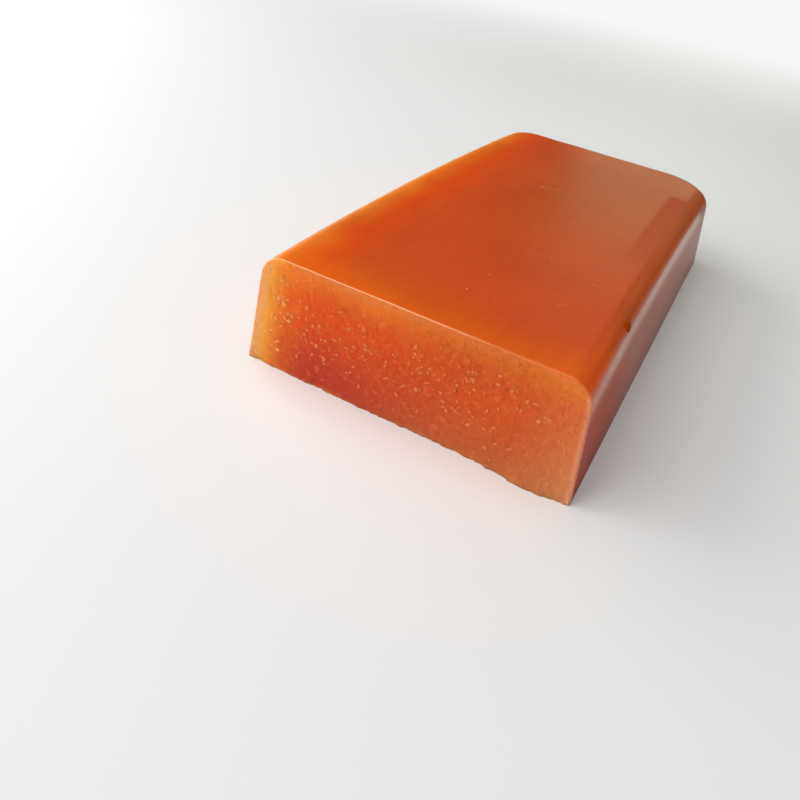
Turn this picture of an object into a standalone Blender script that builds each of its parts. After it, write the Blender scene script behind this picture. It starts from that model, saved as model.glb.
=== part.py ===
"""Guava paste: a bar of firm fruit paste, lying on its wide base with its cut end to the front.

The bar was turned out of a tapered mould, so its sides and far end lean in a little towards the top, its
top edges are rounded, and its two far corners are rounded in plan. The near end was sliced off with a knife
and is flat, with sharp edges, a fine torn grain and a lip where the knife met the board. The soft bar has
swelled along its left side and drawn in along its right one, and a crumb is stuck to its right top edge.

Frame: +X runs along the cut end to its right, +Y from the cut end to the far end, +Z up. The origin is the
middle of the base's bounding rectangle. Units are metres.
"""

import math

import bmesh
import bpy
from mathutils import Matrix, Vector, noise

# The bar as it stands
BASE_WIDTH = 0.078
LENGTH = 0.150
HEIGHT = 0.027

# What the mould gave it. A draft is how far a wall leans in for each unit of height.
DRAFT_LEFT = 0.125
DRAFT_RIGHT = 0.120
DRAFT_FAR = 0.080
EDGE_RADIUS = 0.0052
CORNER_LEFT = {"base": 0.010, "top": 0.010}
CORNER_RIGHT = {"base": 0.004, "top": 0.017}

# How far the soft bar has slumped half-way along: its left side outwards, the top of its right side inwards
LEFT_SWELL = 0.0024
RIGHT_HOLLOW = 0.0009

# The cut end: the knife's waver over the whole face, the torn grain, the ragged foot, the lip at its right
KNIFE_WAVER = 0.0002
KNIFE_WAVE_LENGTH = 0.030
GRAIN_DEPTH = 0.00012
GRAIN_SIZE = 0.0016
FOOT_RAGGED = 0.0005
FOOT_NOTCH_LENGTH = 0.0055
FOOT_BAND = 0.004
LIP_REACH = 0.0014
LIP_AT = 0.0295
LIP_SPREAD = 0.0075
LIP_HEIGHT = 0.0045
CUT_FINENESS = 2

# A crumb of paste stuck on the right top edge
CRUMB_RADIUS = 0.0014
CRUMB_STRETCH = (1.0, 1.6, 0.8)
CRUMB_ALONG = 0.033
CRUMB_ANGLE = math.radians(62)
CRUMB_SUNK = 0.35

# Spacing of the edge loops: fine where the surface turns, wide where it is flat
FINE_STEP = 0.0014
CORNER_STEP = 0.0032
FLAT_STEP = 0.0052
MERGE_DISTANCE = 0.00001
SHARP_ANGLE = math.radians(35)

PASTE_COLOUR = (0.62, 0.105, 0.018, 1.0)
PASTE_ROUGHNESS = 0.32


def clear_scene():
    """Empties the file, so that only this object is in it."""
    for obj in list(bpy.data.objects):
        bpy.data.objects.remove(obj, do_unlink=True)


def new_collection(name):
    """A collection of this name, in the scene."""
    collection = bpy.data.collections.new(name)
    bpy.context.scene.collection.children.link(collection)
    return collection


def paste_material():
    """The moist, glossy red-orange of the paste."""
    material = bpy.data.materials.new("guava_paste")
    material.use_nodes = True
    shader = material.node_tree.nodes["Principled BSDF"]
    shader.inputs["Base Color"].default_value = PASTE_COLOUR
    shader.inputs["Roughness"].default_value = PASTE_ROUGHNESS
    shader.inputs["Metallic"].default_value = 0.0
    return material


def steps(start, end, spacing):
    """Evenly spaced places from start, towards end, that end before it."""
    count = max(1, round((end - start) / spacing))
    return [start + (end - start) * i / count for i in range(count)]


def loops_across():
    """Places of the edge loops across the bar, from its left side to its right."""
    half = BASE_WIDTH / 2
    left, right = max(CORNER_LEFT.values()), max(CORNER_RIGHT.values())
    places = steps(-half, -half + EDGE_RADIUS, FINE_STEP)
    places += steps(-half + EDGE_RADIUS, -half + left, CORNER_STEP)
    places += steps(-half + left, half - right, FLAT_STEP)
    places += steps(half - right, half - EDGE_RADIUS, CORNER_STEP)
    places += steps(half - EDGE_RADIUS, half, FINE_STEP)
    return places[1:]


def loops_along():
    """Places of the edge loops along the bar, from its cut end to its far end."""
    corner = max(*CORNER_LEFT.values(), *CORNER_RIGHT.values())
    places = steps(0, LENGTH - corner, FLAT_STEP)
    places += steps(LENGTH - corner, LENGTH - EDGE_RADIUS, CORNER_STEP)
    places += steps(LENGTH - EDGE_RADIUS, LENGTH, FINE_STEP)
    return places[1:]


def loops_up():
    """Heights of the edge loops, from the base to the top."""
    places = steps(0, HEIGHT - EDGE_RADIUS, FLAT_STEP)
    places += steps(HEIGHT - EDGE_RADIUS, HEIGHT, FINE_STEP)
    return places[1:]


def plain_block():
    """A square-edged block the size of the bar, sliced by the edge loops. Its cut end is at y = 0."""
    block = bmesh.new()
    middle = Matrix.Translation((0, LENGTH / 2, HEIGHT / 2))
    size = Matrix.Diagonal((BASE_WIDTH, LENGTH, HEIGHT, 1))
    bmesh.ops.create_cube(block, size=1.0, matrix=middle @ size)
    for axis, places in enumerate((loops_across(), loops_along(), loops_up())):
        normal = Vector((axis == 0, axis == 1, axis == 2))
        for place in places:
            geometry = block.verts[:] + block.edges[:] + block.faces[:]
            bmesh.ops.bisect_plane(
                block, geom=geometry, dist=MERGE_DISTANCE, plane_co=normal * place, plane_no=normal
            )
    return block


def square_to_round(a, b):
    """Moves a point of a square corner onto the quarter circle that rounds it."""
    if a <= 0 or b <= 0:
        return a, b
    pull = max(a, b) / math.hypot(a, b)
    return a * pull, b * pull


def corner_radius(x, z):
    """Radius in plan of the far corner on this side of the bar, at this height."""
    radii = CORNER_LEFT if x < 0 else CORNER_RIGHT
    share = z / HEIGHT
    return radii["base"] * (1 - share) + radii["top"] * share


def moulded(point):
    """Where a point of the plain block's surface lies once the block is moulded and has slumped."""
    x, y, z = point
    side = -1 if x < 0 else 1
    radius = corner_radius(x, z)
    # Plan: how far the point stands out past the middle of its far corner's arc, each way
    out_x = max(0.0, side * x - (BASE_WIDTH / 2 - radius))
    out_y = max(0.0, y - (LENGTH - radius))
    round_x, round_y = square_to_round(out_x, out_y)
    x += side * (round_x - out_x)
    y += round_y - out_y
    # Section: the top edge's arc, taken across whichever wall is nearest
    reach = math.hypot(round_x, round_y)
    if reach > 0:
        outward = Vector((side * round_x / reach, round_y / reach))
        in_reach = EDGE_RADIUS - (radius - reach)
        up_reach = EDGE_RADIUS - (HEIGHT - z)
        round_in, round_up = square_to_round(in_reach, up_reach)
        x += outward.x * (round_in - in_reach)
        y += outward.y * (round_in - in_reach)
        z += round_up - up_reach
    draft = DRAFT_LEFT if side < 0 else DRAFT_RIGHT
    x *= 1 - draft * z / (BASE_WIDTH / 2)
    y *= 1 - DRAFT_FAR * z / LENGTH
    along = y / LENGTH
    rightward = 0.5 + x / BASE_WIDTH
    leftward_shift = LEFT_SWELL * (1 - rightward) + RIGHT_HOLLOW * rightward * z / HEIGHT
    x -= 4 * along * (1 - along) * leftward_shift
    return Vector((x, y, z))


def refine_cut_end(block):
    """Gives the cut end enough faces to carry its grain."""
    faces = [f for f in block.faces if f.normal.y < -0.9 and f.calc_center_median().y < MERGE_DISTANCE]
    edges = list({edge for face in faces for edge in face.edges})
    bmesh.ops.subdivide_edges(block, edges=edges, cuts=CUT_FINENESS, use_grid_fill=True)


def cut_relief(x, z):
    """How far the knife and the tearing paste leave the cut end behind its plane, or before it if below 0."""
    waver = noise.noise(Vector((x, 0.0, z)) / KNIFE_WAVE_LENGTH)
    grain = noise.noise(Vector((x, 3.0, z)) / GRAIN_SIZE)
    near_foot = max(0.0, 1 - z / FOOT_BAND)
    notch = max(0.0, noise.noise(Vector((x / FOOT_NOTCH_LENGTH, 7.0, 0.0))))
    lip = math.exp(-(((x - LIP_AT) / LIP_SPREAD) ** 2)) * max(0.0, 1 - z / LIP_HEIGHT) ** 2
    return KNIFE_WAVER * waver + GRAIN_DEPTH * grain + FOOT_RAGGED * notch * near_foot - LIP_REACH * lip


def shape_block(block):
    """Gives every point of the plain block its moulded place, and the cut end its relief."""
    for vertex in block.verts:
        on_cut = vertex.co.y < MERGE_DISTANCE
        vertex.co = moulded(vertex.co)
        if on_cut:
            vertex.co.y += cut_relief(vertex.co.x, vertex.co.z)


def flatten_base(block):
    """Makes the flat base one face."""
    base = [f for f in block.faces if all(v.co.z < MERGE_DISTANCE for v in f.verts)]
    edges = {edge for face in base for edge in face.edges if all(f in base for f in edge.link_faces)}
    bmesh.ops.dissolve_edges(block, edges=list(edges), use_verts=False)


def mesh_object(name, shape, collection):
    """An object of this name with the shape as its mesh, in the collection. The shape is freed."""
    mesh = bpy.data.meshes.new(name)
    shape.to_mesh(mesh)
    shape.free()
    obj = bpy.data.objects.new(name, mesh)
    collection.objects.link(obj)
    return obj


def make_crumb(collection):
    """The crumb: a squashed ball, half sunk in the right top edge's arc."""
    ball = bmesh.new()
    bmesh.ops.create_icosphere(ball, subdivisions=2, radius=CRUMB_RADIUS)
    bmesh.ops.scale(ball, vec=CRUMB_STRETCH, verts=ball.verts)
    outward = Vector((math.sin(CRUMB_ANGLE), 0.0, math.cos(CRUMB_ANGLE)))
    arc_middle = Vector((BASE_WIDTH / 2 - EDGE_RADIUS, CRUMB_ALONG, HEIGHT - EDGE_RADIUS))
    # Outwards to the plain block's surface, from where the mould draws it in to the arc
    seat = moulded(arc_middle + outward * EDGE_RADIUS / max(outward))
    bmesh.ops.translate(ball, vec=seat - outward * CRUMB_RADIUS * CRUMB_SUNK, verts=ball.verts)
    return mesh_object("crumb", ball, collection)


def fuse(target, addition):
    """Joins addition to target as one solid, and removes it."""
    union = target.modifiers.new("fuse_crumb", "BOOLEAN")
    union.operation = "UNION"
    union.solver = "EXACT"
    union.object = addition
    graph = bpy.context.evaluated_depsgraph_get()
    joined = bpy.data.meshes.new_from_object(target.evaluated_get(graph))
    target.modifiers.clear()
    target.data = joined
    bpy.data.objects.remove(addition, do_unlink=True)


def centre_on_base(obj):
    """Moves the mesh so that the origin is the middle of the base's bounding rectangle."""
    xs = [v.co.x for v in obj.data.vertices]
    ys = [v.co.y for v in obj.data.vertices]
    middle = Vector(((min(xs) + max(xs)) / 2, (min(ys) + max(ys)) / 2, 0.0))
    obj.data.transform(Matrix.Translation(-middle))


def build():
    """Makes the bar of paste."""
    clear_scene()
    collection = new_collection("guava_paste")
    block = plain_block()
    refine_cut_end(block)
    shape_block(block)
    flatten_base(block)
    paste = mesh_object("guava_paste", block, collection)
    crumb = make_crumb(collection)
    fuse(paste, crumb)
    centre_on_base(paste)
    paste.data.materials.clear()
    paste.data.materials.append(paste_material())
    paste.data.shade_smooth()
    paste.data.set_sharp_from_angle(angle=SHARP_ANGLE)


build()
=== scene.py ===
"""Guava paste: the look of a bar of firm fruit paste that lies on its wide base, its near end sliced off.

The bar keeps the moulded form of its solid. Here its cut end gets the torn grain that a knife leaves in a
paste of cooked fruit, with the stone cells and fibres of the pulp standing in it, and its skin gets the
faint waves, specks and strands of a set surface. Lengths are metres, but millimetres in ramps and strands.
Block coordinates have x 0 at the middle of the cut end's foot, y 0 at the cut and z 0 at the base.
"""

import logging
import math
import random
from contextlib import contextmanager
from dataclasses import dataclass
from enum import Enum
from typing import Callable, Iterator, Sequence

import bpy
from mathutils import Euler, Matrix, Vector, noise


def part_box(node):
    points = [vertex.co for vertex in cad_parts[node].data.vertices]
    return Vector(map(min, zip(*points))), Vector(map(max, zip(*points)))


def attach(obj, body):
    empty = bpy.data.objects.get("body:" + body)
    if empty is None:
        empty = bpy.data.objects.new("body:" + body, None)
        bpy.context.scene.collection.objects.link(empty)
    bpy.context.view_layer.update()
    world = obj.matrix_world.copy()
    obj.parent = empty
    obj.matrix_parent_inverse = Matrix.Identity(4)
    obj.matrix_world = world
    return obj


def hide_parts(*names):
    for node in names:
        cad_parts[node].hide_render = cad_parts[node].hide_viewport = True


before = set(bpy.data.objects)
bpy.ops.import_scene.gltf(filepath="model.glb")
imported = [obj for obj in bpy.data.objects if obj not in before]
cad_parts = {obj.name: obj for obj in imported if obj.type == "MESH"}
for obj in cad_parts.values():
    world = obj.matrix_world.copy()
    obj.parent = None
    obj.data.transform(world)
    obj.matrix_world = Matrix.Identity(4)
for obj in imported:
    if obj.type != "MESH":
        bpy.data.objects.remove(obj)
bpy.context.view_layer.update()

LOG = logging.getLogger("guava_paste")
NODE = "guava_paste"
BODY = "root"
MM = 0.001
TINY = 0.00001
STRAIGHT = 0.99
PLACE_ATTRIBUTE = "block_place"
TONE_ATTRIBUTE = "tone"

Colour = tuple[float, float, float]
Material = bpy.types.Material
Mesh = bpy.types.Mesh
Object = bpy.types.Object
Socket = bpy.types.NodeSocket


class Axis(Enum):
    """The axes of the block."""

    ACROSS = 0
    ALONG = 1
    UP = 2

    def normal(self) -> Vector:
        """The unit vector along this axis."""
        return Vector([float(self is axis) for axis in Axis])


class Edge(Enum):
    """How the edge of a tint runs."""

    STEADY = 0
    WANDERING = 1


ACROSS, ALONG, UP = Axis
STEADY, WANDERING = Edge


def deselect_all() -> None:
    """Leaves nothing selected, in object mode."""
    if bpy.context.object and bpy.context.object.mode != "OBJECT":
        bpy.ops.object.mode_set(mode="OBJECT")
    bpy.ops.object.select_all(action="DESELECT")


@contextmanager
def editing() -> Iterator[None]:
    """Keeps the active object in edit mode inside a with statement."""
    bpy.ops.object.mode_set(mode="EDIT")
    yield
    bpy.ops.object.mode_set(mode="OBJECT")


def named(name: str) -> Object:
    """Names the active object and moves its place, turn and scale into its mesh.

    Args:
        name: the name for the object and its mesh.

    Returns:
        The object.
    """
    obj = bpy.context.object
    obj.name = obj.data.name = name
    bpy.ops.object.transform_apply(location=True, rotation=True, scale=True)
    obj.data.update()
    return obj


def select_only(mesh: Mesh, parts: Sequence, picked: Callable) -> None:
    """Selects some faces or edges of a mesh and nothing else, from object mode.

    Args:
        mesh: the mesh.
        parts: its faces or its edges.
        picked: says of one of them whether it is picked.
    """
    for kind in (mesh.vertices, mesh.edges, mesh.polygons):
        kind.foreach_set("select", [False] * len(kind))
    for part in parts:
        part.select = bool(picked(part))


def slice_mesh(direction: Vector, places: Sequence[float]) -> None:
    """Cuts loops of edges right through the active mesh, in edit mode.

    Args:
        direction: the normal of the cuts.
        places: how far along it each cut lies.
    """
    for place in places:
        bpy.ops.mesh.select_all(action="SELECT")
        bpy.ops.mesh.bisect(plane_co=direction * place, plane_no=direction)


def keep_tones(mesh: Mesh, tones: Sequence[float]) -> None:
    """Stores how pale each point is, for the material to read."""
    mesh.attributes.new(TONE_ATTRIBUTE, "FLOAT", "POINT").data.foreach_set("value", tones)


def evenly(start: float, end: float, spacing: float) -> list[float]:
    """Evenly spaced places from start towards end.

    Args:
        start: the first place.
        end: where the row ends, itself left out.
        spacing: about how far apart they are.

    Returns:
        The places.
    """
    count = max(1, round((end - start) / spacing))
    return [start + (end - start) * i / count for i in range(count)]


def square_to_round(a: float, b: float) -> tuple[float, float]:
    """Moves a point of a square corner onto the quarter circle that rounds it.

    Args:
        a: how far the point is past the arc's middle one way.
        b: how far it is past the middle the other way.

    Returns:
        Both distances on the arc.
    """
    if a <= 0 or b <= 0:
        return a, b
    pull = max(a, b) / math.hypot(a, b)
    return a * pull, b * pull


@dataclass(frozen=True)
class Mould:
    """The form that the mould, and then its own weight, gave the bar."""

    base_width: float
    height: float
    length: float = 0.150
    draft_left: float = 0.125
    draft_right: float = 0.120
    draft_far: float = 0.080
    edge_radius: float = 0.0052
    corner_left: tuple[float, float] = (0.010, 0.010)
    corner_right: tuple[float, float] = (0.004, 0.017)
    left_swell: float = 0.0024
    right_hollow: float = 0.0009

    @property
    def half(self) -> float:
        """Half the width of the base."""
        return self.base_width / 2

    def corner_radius(self, x: float, z: float) -> float:
        """Radius in plan of the far corner on this side of the bar, at this height."""
        base, top = self.corner_left if x < 0 else self.corner_right
        share = z / self.height
        return base * (1 - share) + top * share

    def place(self, point: Vector) -> Vector:
        """Where a point of the square-edged block lies once the block is moulded and has slumped.

        Args:
            point: the point in the square-edged block.

        Returns:
            The point in the moulded bar, in block coordinates.
        """
        x, y, z = point
        side = -1 if x < 0 else 1
        radius = self.corner_radius(x, z)
        out_x = max(0.0, side * x - (self.half - radius))
        out_y = max(0.0, y - (self.length - radius))
        round_x, round_y = square_to_round(out_x, out_y)
        x += side * (round_x - out_x)
        y += round_y - out_y
        reach = math.hypot(round_x, round_y)
        if reach > 0:
            outward = Vector((side * round_x / reach, round_y / reach))
            in_reach = self.edge_radius - (radius - reach)
            up_reach = self.edge_radius - (self.height - z)
            round_in, round_up = square_to_round(in_reach, up_reach)
            x += outward.x * (round_in - in_reach)
            y += outward.y * (round_in - in_reach)
            z += round_up - up_reach
        draft = self.draft_left if side < 0 else self.draft_right
        x *= 1 - draft * z / self.half
        y *= 1 - self.draft_far * z / self.length
        along = y / self.length
        rightward = 0.5 + x / self.base_width
        shift = self.left_swell * (1 - rightward) + self.right_hollow * rightward * z / self.height
        x -= 4 * along * (1 - along) * shift
        return Vector((x, y, z))


@dataclass(frozen=True)
class KnifeCut:
    """The cut end: what the knife and the tearing paste leave behind its plane, or before it.

    Each noise is read in a layer of its own, which the bare number in its place sets.
    """

    waver: float = 0.0002
    wave_length: float = 0.030
    grain_depth: float = 0.00012
    grain_size: float = 0.0016
    fine_depth: float = 0.00007
    fine_size: float = 0.0006
    pit_depth: float = 0.00011
    pit_size: float = 0.0011
    pit_edge: float = 0.35
    foot_ragged: float = 0.0005
    foot_notch: float = 0.0055
    foot_band: float = 0.004
    fray_reach: float = 0.0005
    fray_size: float = 0.0017
    fray_band: float = 0.0009
    fray_least: float = 0.1
    lip_reach: float = 0.0014
    lip_at: float = 0.0295
    lip_spread: float = 0.0075
    lip_height: float = 0.0045

    def broad(self, x: float, z: float) -> float:
        """The relief that the solid has too, at a moulded place of the cut end."""
        waver = noise.noise(Vector((x, 0.0, z)) / self.wave_length)
        grain = noise.noise(Vector((x, 3.0, z)) / self.grain_size)
        near_foot = max(0.0, 1 - z / self.foot_band)
        notch = max(0.0, noise.noise(Vector((x / self.foot_notch, 7.0, 0.0))))
        lip = math.exp(-(((x - self.lip_at) / self.lip_spread) ** 2)) * max(0.0, 1 - z / self.lip_height) ** 2
        torn = self.waver * waver + self.grain_depth * grain
        return torn + self.foot_ragged * notch * near_foot - self.lip_reach * lip

    def fine(self, x: float, z: float) -> float:
        """The finer relief: torn pits between raised grains, and the frayed foot."""
        grain = noise.noise(Vector((x, 11.0, z)) / self.fine_size)
        near, next_near = noise.voronoi(Vector((x, 5.0, z)) / self.pit_size)[0][:2]
        pit = max(0.0, self.pit_edge - (next_near - near)) / self.pit_edge
        at_foot = max(0.0, 1 - z / self.fray_band)
        fray = noise.noise(Vector((x / self.fray_size, 13.0, z / self.fray_size)))
        frayed = max(0.0, fray + self.fray_least)
        return self.fine_depth * grain + self.pit_depth * pit - self.fray_reach * frayed * at_foot

    def relief(self, x: float, z: float) -> float:
        """All of the relief at a moulded place of the cut end."""
        return self.broad(x, z) + self.fine(x, z)


@dataclass(frozen=True)
class MouldedSkin:
    """The skin that set against the mould: its faint waves, and the burr that the knife drew up."""

    wave_height: float = 0.00016
    wave_size: float = 0.013
    wave_stretch: float = 2.6
    burr_height: float = 0.00022
    burr_reach: float = 0.0012
    burr_size: float = 0.004
    burr_layer: float = 21.0
    burr_mean: float = 0.55
    burr_swing: float = 0.9

    def wave(self, place: Vector) -> float:
        """How high a wave of the skin stands at a moulded place; the waves are stretched along the bar."""
        stretched = Vector((place.x, place.y / self.wave_stretch, place.z))
        return self.wave_height * noise.noise(stretched / self.wave_size)

    def burr(self, x: float, y: float) -> float:
        """How far the knife has drawn the top's skin up, this far across and this far from the cut."""
        if y > self.burr_reach:
            return 0.0
        swing = noise.noise(Vector((x, 0.0, self.burr_layer)) / self.burr_size)
        uneven = max(0.0, self.burr_mean + self.burr_swing * swing)
        return self.burr_height * uneven * (1 - y / self.burr_reach) ** 2

    def top_drop(self, place: Vector, along: float) -> float:
        """How far the top lies below its solid's top, so that its waves and burr stay within it."""
        return self.burr_height - min(0.0, self.wave(place)) - self.burr(place.x, along)

    def side_dent(self, place: Vector) -> float:
        """How far a side lies inside its solid's side."""
        return max(0.0, self.wave(place))


@dataclass(frozen=True)
class Bar:
    """The bar as a surface to build on, and where its block stands in the row frame."""

    mould: Mould
    cut: KnifeCut
    skin: MouldedSkin
    origin: Vector

    @classmethod
    def from_frame(cls) -> "Bar":
        """The bar that fills its solid's box."""
        low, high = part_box(NODE)
        mould = Mould(base_width=high.x - low.x - Mould.left_swell, height=high.z - low.z)
        origin = Vector((high.x - mould.half, high.y - mould.length, low.z))
        return cls(mould, KnifeCut(), MouldedSkin(), origin)

    def row_place(self, point: Vector) -> Vector:
        """The row-frame place of a point of the square-edged block."""
        return self.mould.place(point) + self.origin

    def on_cut(self, x: float, z: float) -> Vector:
        """The row-frame place of a point of the cut end, relief and all."""
        place = self.mould.place(Vector((x, 0.0, z)))
        place.y += self.cut.relief(place.x, place.z)
        return place + self.origin

    def on_top(self, x: float, y: float) -> Vector:
        """The row-frame place of the top's surface at a moulded place, waves and all."""
        place = Vector((x, y, self.mould.height))
        place.z -= self.skin.top_drop(place, y)
        return place + self.origin


class NodeDesk:
    """Lays nodes in the tree of one material, or of the world, and links them up."""

    def __init__(self, owner: Material | bpy.types.World, shader: str) -> None:
        """Takes the owner's tree.

        Args:
            owner: the material or the world.
            shader: the name of its shader's node.
        """
        owner.use_nodes = True
        self.owner = owner
        self.tree = owner.node_tree
        self.shader = self.tree.nodes[shader]

    @classmethod
    def for_material(cls, name: str) -> "NodeDesk":
        """The desk of a new material of this name."""
        return cls(bpy.data.materials.new(name), "Principled BSDF")

    def feed(self, value: object, target: Socket) -> None:
        """Links a socket into the target, or sets a plain value on it; a colour gets its alpha here."""
        if isinstance(value, Socket):
            self.tree.links.new(value, target)
        else:
            target.default_value = (*value, 1.0) if target.type == "RGBA" else value

    def add(self, kind: str, inputs: dict | None = None, **settings: object) -> bpy.types.Node:
        """A new node.

        Args:
            kind: the node's type.
            inputs: sockets or plain values for its inputs, by name or number.
            settings: its properties by name.

        Returns:
            The node.
        """
        node = self.tree.nodes.new(kind)
        for name, value in settings.items():
            setattr(node, name, value)
        for name, value in (inputs or {}).items():
            self.feed(value, node.inputs[name])
        return node

    def set(self, **values: object) -> None:
        """Sets or links the shader's sockets, by name with underscores for spaces."""
        for name, value in values.items():
            self.feed(value, self.shader.inputs[name.replace("_", " ")])

    def maths(self, operation: str, *values: object, clamp: bool = False) -> Socket:
        """The result of a Math node on these numbers or sockets, kept from 0 to 1 if it is clamped."""
        inputs = dict(enumerate(values))
        return self.add("ShaderNodeMath", inputs, operation=operation, use_clamp=clamp).outputs[0]

    def vector(self, operation: str, *values: object, result: str = "Vector") -> Socket:
        """The result of a Vector Math node on these vectors or sockets, at its output of this name."""
        return self.add("ShaderNodeVectorMath", dict(enumerate(values)), operation=operation).outputs[result]

    def split(self, vector: Socket) -> Sequence[Socket]:
        """The three parts of a vector."""
        return self.add("ShaderNodeSeparateXYZ", {0: vector}).outputs

    def attribute(self, name: str, result: str) -> Socket:
        """One of the mesh's own attributes, as a vector or a number."""
        return self.add("ShaderNodeAttribute", attribute_name=name).outputs[result]

    def object_place(self) -> Socket:
        """The Object coordinates."""
        return self.add("ShaderNodeTexCoord").outputs["Object"]

    def smooth(self, value: object, start: float, end: float) -> Socket:
        """0 at start, 1 at end and past it, with a smooth ramp between.

        Args:
            value: the number that runs from start to end.
            start: where the ramp starts.
            end: where it ends; it may be below start.

        Returns:
            The ramp's output.
        """
        low, high = (0.0, 1.0) if start < end else (1.0, 0.0)
        span = {"From Min": min(start, end), "From Max": max(start, end), "To Min": low, "To Max": high}
        node = self.add("ShaderNodeMapRange", {"Value": value, **span}, interpolation_type="SMOOTHSTEP")
        return node.outputs["Result"]

    def noise(
        self, place: Socket, size: float, detail: float = 2.0, rough: float = 0.5, warp: float = 0.0
    ) -> Socket:
        """Noise of this grain size, from about 0 to 1 around 0.5.

        Args:
            place: the coordinates it is read at.
            size: how far apart its blobs are, in metres.
            detail: how many finer octaves it has.
            rough: how strong those are.
            warp: how much it is distorted.

        Returns:
            The noise.
        """
        grain = {"Detail": detail, "Roughness": rough, "Distortion": warp}
        return self.add("ShaderNodeTexNoise", {"Vector": place, "Scale": 1 / size, **grain}).outputs[0]

    def blend(self, share: object, base: object, over: object) -> Socket:
        """One colour over another.

        Args:
            share: how much of the upper colour shows, from 0 to 1.
            base: the lower colour.
            over: the upper colour.

        Returns:
            The mixed colour.
        """
        return self.add("ShaderNodeMix", {0: share, 6: base, 7: over}, data_type="RGBA").outputs[2]

    def bump(self, height: Socket, depth: float, normal: Socket | None = None) -> Socket:
        """A normal tilted by this height.

        Args:
            height: the height, from 0 to 1.
            depth: how high 1 is, in metres.
            normal: a normal that is already tilted.

        Returns:
            The normal.
        """
        tilted = {} if normal is None else {"Normal": normal}
        return self.add("ShaderNodeBump", {"Distance": depth, "Height": height, **tilted}).outputs[0]


@dataclass(frozen=True)
class Ramp:
    """Where a tint ends along one axis of the block, in millimetres: gone at one place, full at another."""

    axis: Axis
    gone: float
    full: float


CUT_END = Ramp(ALONG, 0.60, 0.25)
RIM = Ramp(ALONG, 0.55, 0.30)
SKIN = Ramp(ALONG, 0.25, 0.60)
TOP_SKIN = Ramp(UP, 19.0, 22.0)
SIDE_SKIN = Ramp(UP, 24.0, 19.0)
RIGHT_SIDE = Ramp(ACROSS, 38.8, 38.9)
LEFT_SIDE = Ramp(ACROSS, -38.8, -38.9)
FAR_SIDE = Ramp(ALONG, 149.8, 149.9)
# A darker, rougher strip in the top towards the right; its darker colour is painted shade, where the top's
# reflection of the light breaks off.
SHADED_STRIP = (
    TOP_SKIN,
    Ramp(ACROSS, 28.1, 29.8),
    Ramp(ACROSS, 35.6, 33.2),
    Ramp(ALONG, 48.0, 98.0),
    Ramp(ALONG, 122.2, 120.8),
)
HANDLED = (SKIN, RIGHT_SIDE, Ramp(UP, 24.0, 20.0), Ramp(ALONG, 50.0, 10.0))


@dataclass(frozen=True)
class Wash:
    """A tint over part of the paste: its own colour in some places, and in many painted light and shade, such
    as light glowing through thin edges, highlights, reflections and shade.
    """

    colour: Colour
    strength: float
    ramps: tuple[Ramp, ...]
    edge: Edge = STEADY


class PasteDesk(NodeDesk):
    """The desk of the paste's material, with the nodes that say where each point lay in the block."""

    wander_size = 0.009
    wander_reach = (0.006, 0.0, 0.004)

    def __init__(self, name: str) -> None:
        """Makes the material and the nodes that every part of it reads.

        Args:
            name: the material's name.
        """
        super().__init__(bpy.data.materials.new(name), "Principled BSDF")
        self.place = self.object_place()
        block = self.attribute(PLACE_ATTRIBUTE, "Vector")
        wander = self.noise(self.place, self.wander_size).node.outputs["Color"]
        swing = self.vector("SUBTRACT", wander, (0.5, 0.5, 0.5))
        shifted = self.vector("MULTIPLY_ADD", swing, self.wander_reach, block)
        self.parts = {STEADY: self.split(block), WANDERING: self.split(shifted)}
        self.on_cut = self.covered((CUT_END,))
        self.on_skin = self.maths("SUBTRACT", 1.0, self.on_cut)

    def covered(self, ramps: Sequence[Ramp], strength: float = 1.0, edge: Edge = STEADY) -> Socket:
        """How much of a tint lies here: its strength where all of its ramps are full.

        Args:
            ramps: where it ends.
            strength: how strong it is.
            edge: how its edge runs.

        Returns:
            The share.
        """
        share: object = strength
        for ramp in ramps:
            mask = self.smooth(self.parts[edge][ramp.axis.value], ramp.gone * MM, ramp.full * MM)
            share = self.maths("MULTIPLY", share, mask)
        return share


@dataclass(frozen=True)
class Fleck:
    """One kind of cloud, streak, painted pit shade or grain in the flesh: a noise that shows past a height.
    """

    size: float
    detail: float
    rough: float
    gone: float
    full: float
    strength: float
    warp: float = 0.0

    def shown(self, desk: NodeDesk, place: Socket, where: object = 1.0) -> Socket:
        """How much of it shows.

        Args:
            desk: the material's nodes.
            place: the coordinates that it is laid out in.
            where: 1 where it lies, and 0 elsewhere.

        Returns:
            The share.
        """
        height = desk.noise(place, self.size, self.detail, self.rough, self.warp)
        share = desk.maths("MULTIPLY", desk.smooth(height, self.gone, self.full), where)
        return desk.maths("MULTIPLY", share, self.strength)


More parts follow.
